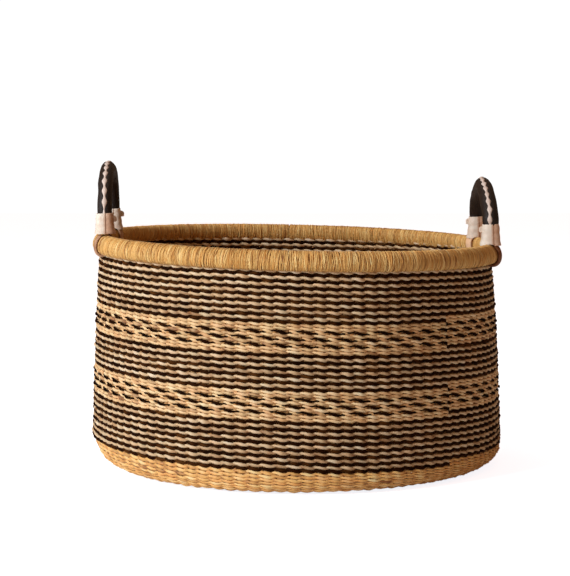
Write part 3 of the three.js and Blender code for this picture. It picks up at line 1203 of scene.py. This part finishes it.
@dataclass
class LacedHandle:
    """One handle: a grass core in a black laced leather sleeve, strapped to the rim through raw collars."""

    side: Side
    rim: WoundRim

    # How it stands off its solids: turned, beside them, lower, its back higher, leaning to the right.
    yaw: float = 0.0
    shift: float = 0.0
    drop: float = 0.0
    roll: float = 0.0
    lean: float = 0.0

    # The arch, the core and the sleeve; a positive seam_turn takes the seam to the right of the top.
    arch_power: float = 2.0
    leg_straight: float = 0.003
    core_radius: float = 0.0070
    core_strands: int = 6
    core_half: float = 0.0022
    core_twist: float = 6.0
    sleeve_radius: float = 0.0092
    sleeve_swell: float = 0.0
    swell_run: float = 0.004
    dent: float = 0.00022
    dent_bias: float = 0.6
    dent_twist: float = 9.0
    seam_turn: float = 0.0
    furrow_depth: float = 0.0006
    furrow_turn: float = 0.16
    ridge_height: float = 0.0003
    ridge_turn: float = 0.42
    ridge_spread: float = 0.2

    # The lacing: lenses between necks, from a height over the collars' top. Its tails are counted in lenses.
    lens_length: float = 0.0148
    lens_start: float = -0.001
    lens_half_width: float = 0.0033
    lens_rise: float = 0.0008
    neck_half_width: float = 0.00135
    neck_sink: float = 0.0006
    lace_half_depth: float = 0.0008
    lace_seat: float = 0.00024
    lace_stray: float = 0.0003
    lens_spread: float = 0.05
    tail_width: float = 1.0
    tail_length: float = 0.99

    # The collars, which lap over themselves and sit on the rim, and their tabs. A tab starts as a block, in
    # shares of its reach, thickness and height, and goes on in steps: reach, narrowing and droop.
    collar_thickness: float = 0.0010
    collar_overlap: float = math.radians(70)
    collar_edge: float = math.radians(3)
    collar_power: float = 3.0
    collar_wrinkle: float = 0.0002
    collar_flare: float = 0.0006
    foot_flare: float = 0.25
    top_flare: float = 0.1
    collar_sag: float = 0.0003
    collar_slant: float = 0.0005
    # Each leg's collar tone is partly the hide's own paleness and partly painted light: a collar that lies in
    # shade is given a higher tone to look lit.
    collar_tones: dict[End, float] = field(default_factory=dict)
    soft_edge: float = 0.0004
    lip_floor: float = 0.0100
    front_lip: float = 0.0
    skirt: float = 0.0025
    outer_skirt: float = 0.4
    under_lap: float = math.radians(115)
    # lap_shade is painted shade on the collar's layer under the lap.
    lap_shade: float = 0.4
    bend_start: float = 0.0120
    bend_end: float = 0.0175
    tab_reach: float = 0.0045
    tab_height: float = 0.008
    tab_thickness: float = 0.003
    tab_drop: float = 0.0065
    tab_root: float = 0.0012
    tab_block: Vector = (0.4, 0.8, 0.95)
    tab_steps: tuple[Vector, ...] = ((0.35, 0.9, -0.0004), (0.3, 0.65, -0.0006))
    # The tab's tone paints it paler: painted light on a tab that faces away from the lamp.
    tab_tone: float = 0.8

    # The straps: the loop's arc, in half turns from the rim's underside, and its ends' places across the rim.
    strap_half_width: float = 0.0056
    strap_half_depth: float = 0.0019
    strap_slack: float = -0.0006
    strap_arc: tuple[float, float] = (-0.86, 0.72)
    # Each strap's tone is painted light and shade: low on a strap that lies in shade, high on one that should
    # look lit.
    strap_tones: dict[End, float] = field(default_factory=dict)
    necks: tuple[float, float] = (-0.0045, 0.0045)
    neck_rise: float = 0.0035
    seed: int = 37

    def __post_init__(self) -> None:
        """Reads the handle's place from the CAD nodes that it dresses; yaw is turned further from there."""
        self.body = f"{self.side.word}_handle"
        front_low, front_high = (np.array(corner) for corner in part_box(self.node("front_collar")))
        back_low, back_high = (np.array(corner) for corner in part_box(self.node("back_collar")))
        front, back = (front_low + front_high) / 2, (back_low + back_high) / 2
        self.middle = (front + back) / 2
        self.yaw += math.atan2(front[0] - back[0], back[1] - front[1])
        self.half_span = float(np.hypot(*(back - front)[:2])) / 2
        self.collar_foot = front_low[2]
        self.collar_top = front_high[2]
        self.collar_radius = (front_high[1] - front_low[1]) / 2
        self.leg_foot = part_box(self.node("handle_core"))[0][2]
        self.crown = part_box(self.node("handle_leather"))[1][2] - self.sleeve_radius

    def node(self, part: str) -> str:
        """The CAD name of one of this handle's parts."""
        return f"{self.side.word}_{part}"

    def leg_y(self, end: End) -> float:
        """Where a leg stands along the handle, from its middle."""
        return end.value * self.half_span

    def placed(self, points: Array) -> Array:
        """Points moved from the handle's own frame, x to its right and y to its back, to the basket's.

        Args:
            points: Rows of x and y from the handle's middle, and z from the floor.

        Returns:
            Rows of x, y and z.
        """
        cos, sin = math.cos(self.yaw), math.sin(self.yaw)
        x, y, z = points.T
        beside = x + self.shift + self.lean * (z - self.collar_foot)
        height = z + self.roll * y - self.drop
        across, along = beside * cos - y * sin, beside * sin + y * cos
        return np.column_stack((self.middle[0] + across, self.middle[1] + along, height))

    def finish(self, piece: Piece, part: str, finish: Finish, slot: str, rides: bool = True) -> None:
        """Moves a piece from the handle's own frame to the basket's and finishes it.

        Args:
            piece: The piece.
            part: Which of the handle's parts it stands for.
            finish: Its finish.
            slot: The record's material slot that the finish belongs to.
            rides: Whether it swings with the handle without bending.
        """
        name = self.node(part)
        Workbench.set_points(piece, self.placed(Workbench.points_of(piece)))
        Workbench.finish(piece, f"{name}_piece", finish, slot, name, self.body if rides else None)

    def centre_line(self, foot: float) -> tuple[Array, Array]:
        """The handle's centre line as closely spaced points of its plane, from front to back.

        Args:
            foot: Height at which the line starts and ends.

        Returns:
            The distance along the line at each point, and rows of y and z.
        """
        spring = self.collar_top + self.leg_straight
        straight = np.linspace(foot, spring, 20, endpoint=False)
        turn = np.linspace(0, math.pi, 181)
        power = 2 / self.arch_power
        arch_y = -self.half_span * np.sign(np.cos(turn)) * np.abs(np.cos(turn)) ** power
        arch_z = spring + (self.crown - spring) * np.sin(turn) ** power
        front, back = np.full(len(straight), arch_y[0]), np.full(len(straight), arch_y[-1])
        points = np.column_stack(
            (np.concatenate((front, arch_y, back)), np.concatenate((straight, arch_z, straight[::-1])))
        )
        return self.lengths(points), points

    @staticmethod
    def lengths(points: Array) -> Array:
        """The distance along a line at each of its points."""
        return np.concatenate(((0,), np.cumsum(np.linalg.norm(np.diff(points, axis=0), axis=1))))

    def swelling(self, foot: float, along: Array) -> Array:
        """How much thicker than in its collars the sleeve is.

        Args:
            foot: Height at which the centre line starts and ends.
            along: Shares of the centre line's length.

        Returns:
            What is added to the sleeve's radius at each share.
        """
        distance, points = self.centre_line(foot)
        height = np.interp(along * distance[-1], distance, points[:, 1])
        return self.sleeve_swell * np.clip((height - self.collar_top) / self.swell_run, 0, 1)

    def bend(self, foot: float, along: Array, out: Array, beside: Array) -> Array:
        """Bends a straight piece over the handle's arch.

        Args:
            foot: Height at which the piece starts and ends.
            along: Shares of the centre line's length, from 0 at the front to 1 at the back.
            out: Distances from the centre line to the arch's outside.
            beside: Distances from the centre line to the handle's right.

        Returns:
            Rows of x, y and z in the handle's own frame.
        """
        distance, points = self.centre_line(foot)
        reach = along * distance[-1]
        look = 0.001
        ahead, behind = np.minimum(reach + look, distance[-1]), np.maximum(reach - look, 0)
        y, z = (np.interp(reach, distance, line) for line in points.T)
        dy, dz = (np.interp(ahead, distance, line) - np.interp(behind, distance, line) for line in points.T)
        size = np.hypot(dy, dz)
        return np.column_stack((beside, y - out * dz / size, z + out * dy / size))

    def rim_at(self, end: End) -> tuple[Array, float, Array]:
        """Where a leg meets the rim.

        Args:
            end: Which leg.

        Returns:
            The leg's foot, its angle round the basket, and the rim's centre there.
        """
        leg = self.placed(np.array(((0, self.leg_y(end), self.collar_foot),)))[0]
        turn = math.atan2(leg[0], -leg[1])
        return leg, turn, self.rim.place(np.array((turn,)), np.zeros(1), np.zeros(1))[0]

    def build_sleeve(self) -> None:
        """Draws the black leather round the core, with its two edges meeting in a shallow furrow on top."""
        strand = StraightStrand.even(self.sleeve_radius, self.sleeve_radius, sides=24, steps=64)
        rng = np.random.default_rng((self.seed, self.side.value + 1, 1))
        along = strand.points[:, 0]
        angle = np.arctan2(strand.points[:, 2], strand.points[:, 1])
        radius = np.hypot(strand.points[:, 1], strand.points[:, 2])
        dents = wander(rng, FULL_TURN * along, range(3, 14), self.dent)
        dents *= 1 + self.dent_bias * np.cos(angle + self.dent_twist * along)
        off_seam = np.abs(angle - self.seam_turn)
        ridges = self.ridge_height * np.exp(-(((off_seam - self.ridge_turn) / self.ridge_spread) ** 2))
        furrow = self.furrow_depth * np.exp(-((off_seam / self.furrow_turn) ** 2))
        relief = dents + ridges - furrow + self.swelling(self.leg_foot, along)
        radius = radius + np.where(radius > self.sleeve_radius / 2, relief, 0)
        points = self.bend(self.leg_foot, along, radius * np.cos(angle), radius * np.sin(angle))
        bundle = Bundle()
        bundle.add(strand, points, np.full(len(along), 0.5), strand.points)
        self.finish(bundle.make(), "handle_leather", Finish.BLACK_HIDE, "black_leather")

    def build_core(self) -> None:
        """Lays the grass strands inside the sleeve, twisted round one in the middle."""
        strand = StraightStrand.even(self.core_half, self.core_half, sides=5, steps=40)
        bundle = Bundle()
        along = strand.points[:, 0]
        for i in range(self.core_strands + 1):
            angle = FULL_TURN * i / self.core_strands + self.core_twist * along
            off_axis = 0 if i == self.core_strands else self.core_radius - self.core_half
            out = off_axis * np.cos(angle) + strand.points[:, 1]
            beside = off_axis * np.sin(angle) + strand.points[:, 2]
            points = self.bend(self.leg_foot, along, out, beside)
            bundle.add(strand, points, np.full(len(along), 0.4 + 0.03 * i), strand.points + (i, 0, 0))
        self.finish(bundle.make(), "handle_core", Finish.STAKE_STRAW, "stake_grass")

    def build_lacing(self) -> None:
        """Threads the pale thong in and out of the sleeve's edges: a chain of lens-shaped stitches."""
        foot = self.collar_top + self.lens_start
        distance, _ = self.centre_line(foot)
        shares = distance / distance[-1]
        edge = self.bend(foot, shares, np.full(len(shares), self.sleeve_radius), np.zeros(len(shares)))
        length = self.lengths(edge)
        count = round(float(length[-1]) / self.lens_length)
        steps = 8
        stations = []
        for i in range(steps + 1):
            full = math.sin(math.pi * i / steps) ** 2
            width = self.neck_half_width + (self.lens_half_width - self.neck_half_width) * full
            out = self.lens_rise * full - self.neck_sink
            stations.append(Station(i / steps / count, self.lace_half_depth, width, out=out))
        strand = StraightStrand.model(stations, sides=8, copies=count)
        rng = np.random.default_rng((self.seed, self.side.value + 1, 2))
        place = strand.points[:, 0] * count
        along = np.interp(strand.points[:, 0] * length[-1], length, shares)
        stray = stitch_values(rng, place + 0.5, self.lace_stray)
        tail = np.minimum(place, count - place) < self.tail_length
        width = np.where(tail, self.tail_width, 1) * (1 + stitch_values(rng, place + 0.5, self.lens_spread))
        radius = self.sleeve_radius + self.swelling(foot, along) + self.lace_seat - strand.points[:, 1]
        angle = self.seam_turn + (stray - strand.points[:, 2] * width) / self.sleeve_radius
        points = self.bend(foot, along, radius * np.cos(angle), radius * np.sin(angle))
        bundle = Bundle()
        bundle.add(strand, points, np.full(len(along), 0.5), strand.points)
        self.finish(bundle.make(), "handle_lacing", Finish.PALE_HIDE, "pale_leather")

    def build_collar(self, end: End) -> None:
        """Wraps a raw leather collar round one leg; its free edge lies to the right of the front.

        Args:
            end: Which leg.
        """
        Workbench.clear()
        bpy.ops.mesh.primitive_grid_add(x_subdivisions=72, y_subdivisions=16, size=1)
        sheet = bpy.context.object
        rng = np.random.default_rng((self.seed, self.side.value + 1, end.value + 1, 3))
        share, rise, _ = Workbench.points_of(sheet).T + 0.5
        turn = self.collar_edge - (FULL_TURN + self.collar_overlap) * (1 - share)
        cos, sin = np.cos(turn), np.sin(turn)
        folds = rise * rng.uniform(15, 22) + 2 * np.sin(turn + rng.uniform(0, 6))
        flare = np.exp(-((rise / self.foot_flare) ** 2)) - np.exp(-(((1 - rise) / self.top_flare) ** 2))
        radius = self.collar_radius + self.collar_thickness * (share - 1.5)
        radius += self.collar_wrinkle * np.sin(folds) + self.collar_flare * flare
        outward = self.side.value * sin
        power = 2 / self.collar_power
        x = radius * np.sign(sin) * np.abs(sin) ** power
        skirt = self.skirt * (1 - rise) ** 2 * np.where(outward > 0, self.outer_skirt, 1)
        x += self.side.value * skirt * outward
        leg, _, centre = self.rim_at(end)
        lip = self.lip_floor + (self.front_lip if end is End.FRONT else 0)
        saddle = np.maximum(self.rim.top_at(self.side.value * x), lip)
        foot = self.collar_foot + centre[2] - leg[2] + saddle
        sag = self.collar_sag * np.sin(2 * turn + rng.uniform(0, 6)) * (1 - rise)
        sag += self.collar_slant * sin * rise
        y = self.leg_y(end) - radius * np.sign(cos) * np.abs(cos) ** power
        height = foot + (self.collar_top - foot) * rise + sag
        Workbench.set_points(sheet, np.column_stack((x, y, height)))
        Workbench.edit()
        Workbench.close()
        Workbench.apply(sheet, "SOLIDIFY", thickness=self.collar_thickness, offset=0)
        Workbench.apply(sheet, "BEVEL", width=self.soft_edge, segments=2, limit_method="ANGLE")
        x, y, _ = Workbench.points_of(sheet).T
        side = np.arctan2(x, self.leg_y(end) - y)
        covered = (side > self.collar_edge) & (side < self.under_lap)
        # Painted light and shade: the leg's tone makes the collar look lit, and lap_shade darkens the layer
        # under the free edge as painted shade.
        Workbench.tint(sheet, self.collar_tones[end] - self.lap_shade * covered)
        self.finish(sheet, f"{end.word}_collar", Finish.RAW_HIDE, "raw_leather", rides=False)
        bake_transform(sheet)

    def build_tab(self, end: End) -> None:
        """Shapes the tongue that closes a collar, on its side towards the basket's inside.

        Args:
            end: Which leg.
        """
        inward = -self.side.value
        root = np.array((inward * self.collar_radius, self.leg_y(end), self.collar_top - self.tab_drop))
        Workbench.clear()
        block = np.array((self.tab_reach, self.tab_thickness, self.tab_height)) * self.tab_block
        start = root + (inward * (block[0] / 2 - self.tab_root), 0, 0)
        bpy.ops.mesh.primitive_cube_add(size=1, location=start, scale=block)
        tab = bpy.context.object
        bpy.ops.object.transform_apply(location=True, rotation=True, scale=True)
        bpy.ops.object.mode_set(mode="EDIT")
        bpy.ops.mesh.select_all(action="DESELECT")
        bpy.ops.object.mode_set(mode="OBJECT")
        for face in tab.data.polygons:
            face.select = face.normal[0] * inward > 0.9
        bpy.ops.object.mode_set(mode="EDIT")
        bpy.ops.mesh.select_mode(type="FACE")
        for reach, narrowing, droop in self.tab_steps:
            step = (inward * self.tab_reach * reach, 0, droop)
            bpy.ops.mesh.extrude_region_move(TRANSFORM_OT_translate={"value": step})
            bpy.ops.transform.resize(value=(1, narrowing, narrowing), center_override=tuple(root + step))
        Workbench.close()
        Workbench.apply(tab, "BEVEL", width=self.soft_edge, segments=2, limit_method="ANGLE")
        Workbench.apply(tab, "SUBSURF", levels=1, render_levels=1)
        # Painted light: the tab's tone makes it paler than it would look in its shade.
        Workbench.tint(tab, np.full(len(tab.data.vertices), self.tab_tone))
        self.finish(tab, f"{end.word}_collar_tab", Finish.RAW_HIDE, "raw_leather")

    def build_strap(self, end: End) -> None:
        """Loops a raw leather strap from the collar round the rim and back; it is left on no body.

        Args:
            end: Which leg.
        """
        strand = StraightStrand.even(self.strap_half_depth, self.strap_half_width, sides=8, steps=44)
        leg, leg_turn, centre = self.rim_at(end)
        room = self.strap_half_depth + self.strap_slack
        around = np.linspace(*self.strap_arc, 241) * math.pi
        loop = np.column_stack(
            ((self.rim.half_width + room) * np.sin(around), -(self.rim.half_height + room) * np.cos(around))
        )
        neck = self.collar_foot + self.neck_rise - centre[2]
        cos, sin = math.cos(self.rim.tilt), math.sin(self.rim.tilt)
        inner, outer = (np.array((u * cos + neck * sin, neck * cos - u * sin)) for u in self.necks)
        path = np.vstack((inner, loop, outer))
        distance = self.lengths(path)
        reach = strand.points[:, 0] * distance[-1]
        heading = np.gradient(path, distance, axis=0)
        heading /= np.hypot(*heading.T)[:, None]
        ahead_across, ahead_up = (np.interp(reach, distance, column) for column in heading.T)
        across, up = (np.interp(reach, distance, column) for column in path.T)
        across -= strand.points[:, 1] * ahead_up
        up += strand.points[:, 1] * ahead_across
        turn = leg_turn - strand.points[:, 2] / self.rim.radius
        bundle = Bundle()
        # Painted light and shade: the strap's tone for its leg.
        tone = np.full(len(reach), self.strap_tones[end])
        bundle.add(strand, self.rim.place(turn, across, up), tone, strand.points)
        strap = bundle.make()
        name = self.node(f"{end.word}_rim_strap")
        Workbench.finish(strap, f"{name}_piece", Finish.TAN_HIDE, "raw_leather", name)
        tuple(leg)
        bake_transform(strap)

    def build(self) -> None:
        """Builds the whole handle."""
        self.build_core()
        self.build_sleeve()
        self.build_lacing()
        for end in End:
            self.build_collar(end)
            self.build_tab(end)
            self.build_strap(end)


@dataclass(frozen=True)
class Lamp:
    """A soft square lamp that looks at the basket."""

    name: str
    place: Vector
    size: float
    power: float
    colour: Vector
    aim: float = 0.18

    def build(self) -> None:
        """Hangs the lamp."""
        Workbench.clear()
        bpy.ops.object.light_add(type="AREA", location=self.place)
        lamp = bpy.context.object
        lamp.name = self.name
        lamp.data.size = self.size
        lamp.data.energy = self.power
        lamp.data.color = self.colour
        x, y, z = self.place
        lamp.rotation_euler = (math.atan2(math.hypot(x, y), z - self.aim), 0, math.atan2(x, -y))


@dataclass
class Studio:
    """A white floor, soft lamps from the left and the camera that took the picture."""

    camera_place: Vector = (-0.0144, -2.4106, 0.4141)
    camera_pitch: float = 0.0828
    lens: float = 121.2
    film_height: float = 36.0
    floor_size: float = 14.0
    floor_level: float = -0.0005
    floor_colour: Colour = (0.9, 0.9, 0.9, 1)
    floor_roughness: float = 0.9
    floor_gloss: float = 0.5
    floor_glow: float = 0.86
    glow_colour: Colour = (0.99, 1, 1.045, 1)
    room_light: float = 0.22
    room_colour: Colour = (1.0, 0.58, 0.34, 1)
    backdrop_light: float = 1.05
    backdrop_colour: Colour = (1, 1, 1, 1)

    lamps: tuple[Lamp, ...] = (
        Lamp("key_lamp", (-2.4, -1.8, 1.5), size=1.2, power=90, colour=(0.94, 1.02, 1.10)),
        Lamp("top_lamp", (-0.4, 0.4, 2.6), size=1.6, power=10, colour=(1.0, 0.98, 0.96)),
    )

    def build_floor(self) -> None:
        """Lays the white floor, which still shows the basket's shadow."""
        Workbench.clear()
        bpy.ops.mesh.primitive_plane_add(size=self.floor_size, location=(0, 0, self.floor_level))
        floor = bpy.context.object
        floor.name = "floor"
        sheet = ShaderSheet("white_floor", self.floor_gloss)
        sheet.shader.inputs["Base Color"].default_value = self.floor_colour
        sheet.shader.inputs["Roughness"].default_value = self.floor_roughness
        sheet.shader.inputs["Emission Color"].default_value = self.glow_colour
        path = sheet.add("ShaderNodeLightPath")
        glow = sheet.math("MULTIPLY", path.outputs["Is Camera Ray"], self.floor_glow)
        sheet.link(glow, sheet.shader.inputs["Emission Strength"])
        floor.data.materials.append(sheet.material)

    def build_world(self) -> None:
        """Fills the room with weak warm light, in front of a background that the camera sees as white."""
        world = bpy.data.worlds.new("white_room")
        bpy.context.scene.world = world
        world.use_nodes = True
        sheet = NodeSheet(world.node_tree)
        background = world.node_tree.nodes["Background"]
        path = sheet.add("ShaderNodeLightPath")
        strength = sheet.add("ShaderNodeMapRange")
        strength.inputs["To Min"].default_value = self.room_light
        strength.inputs["To Max"].default_value = self.backdrop_light
        sheet.link(path.outputs["Is Camera Ray"], strength.inputs["Value"])
        sheet.link(strength.outputs["Result"], background.inputs["Strength"])
        colour = sheet.add("ShaderNodeMix", data_type="RGBA")
        colour.inputs["A"].default_value = self.room_colour
        colour.inputs["B"].default_value = self.backdrop_colour
        sheet.link(path.outputs["Is Camera Ray"], colour.inputs["Factor"])
        sheet.link(colour.outputs["Result"], background.inputs["Color"])

    def build_camera(self) -> None:
        """Sets up the camera where the picture was taken from."""
        data = bpy.data.cameras.new("picture_camera")
        data.lens = self.lens
        data.sensor_fit = "VERTICAL"
        data.sensor_height = self.film_height
        camera = bpy.data.objects.new("picture_camera", data)
        camera.location = self.camera_place
        camera.rotation_euler = (math.pi / 2 - self.camera_pitch, 0, 0)
        bpy.context.scene.collection.objects.link(camera)
        bpy.context.scene.camera = camera

    def build(self) -> None:
        """Builds the floor, the light and the camera."""
        self.build_floor()
        self.build_world()
        for lamp in self.lamps:
            lamp.build()
        self.build_camera()
        bpy.context.scene.view_settings.view_transform = "Standard"


def main() -> None:
    """Builds the basket and its studio."""
    logging.basicConfig(level=logging.INFO, format="%(message)s")
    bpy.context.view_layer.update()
    rim = WoundRim()
    WovenDrum().build()
    rim.build()
    LacedHandle(
        Side.LEFT,
        rim,
        yaw=0.015,
        shift=0.0004,
        lean=-0.001,
        sleeve_radius=0.0088,
        lens_start=-0.0079,
        tail_width=0.45,
        front_lip=0.0034,
        necks=(-0.0045, 0.0070),
        # The collar and strap tones and lap_shade are painted light and shade for this handle's legs.
        lap_shade=0.52,
        collar_tones={End.FRONT: 0.88, End.BACK: 1.4},
        strap_tones={End.FRONT: 0.4, End.BACK: 0.6},
    ).build()
    LacedHandle(
        Side.RIGHT,
        rim,
        shift=0.0003,
        drop=0.0006,
        roll=0.025,
        lean=-0.024,
        arch_power=1.5,
        sleeve_swell=0.0008,
        seam_turn=-0.2,
        lens_length=0.0130,
        lens_half_width=0.0028,
        # The collar and strap tones and lap_shade are painted light and shade for this handle's legs.
        lap_shade=0.6,
        collar_tones={End.FRONT: 0.95, End.BACK: 0.8},
        strap_half_width=0.0085,
        strap_half_depth=0.0025,
        strap_tones={End.FRONT: 0.0, End.BACK: 0.95},
    ).build()
    Studio().build()
    bpy.context.view_layer.update()


if __name__ == "__main__":
    main()
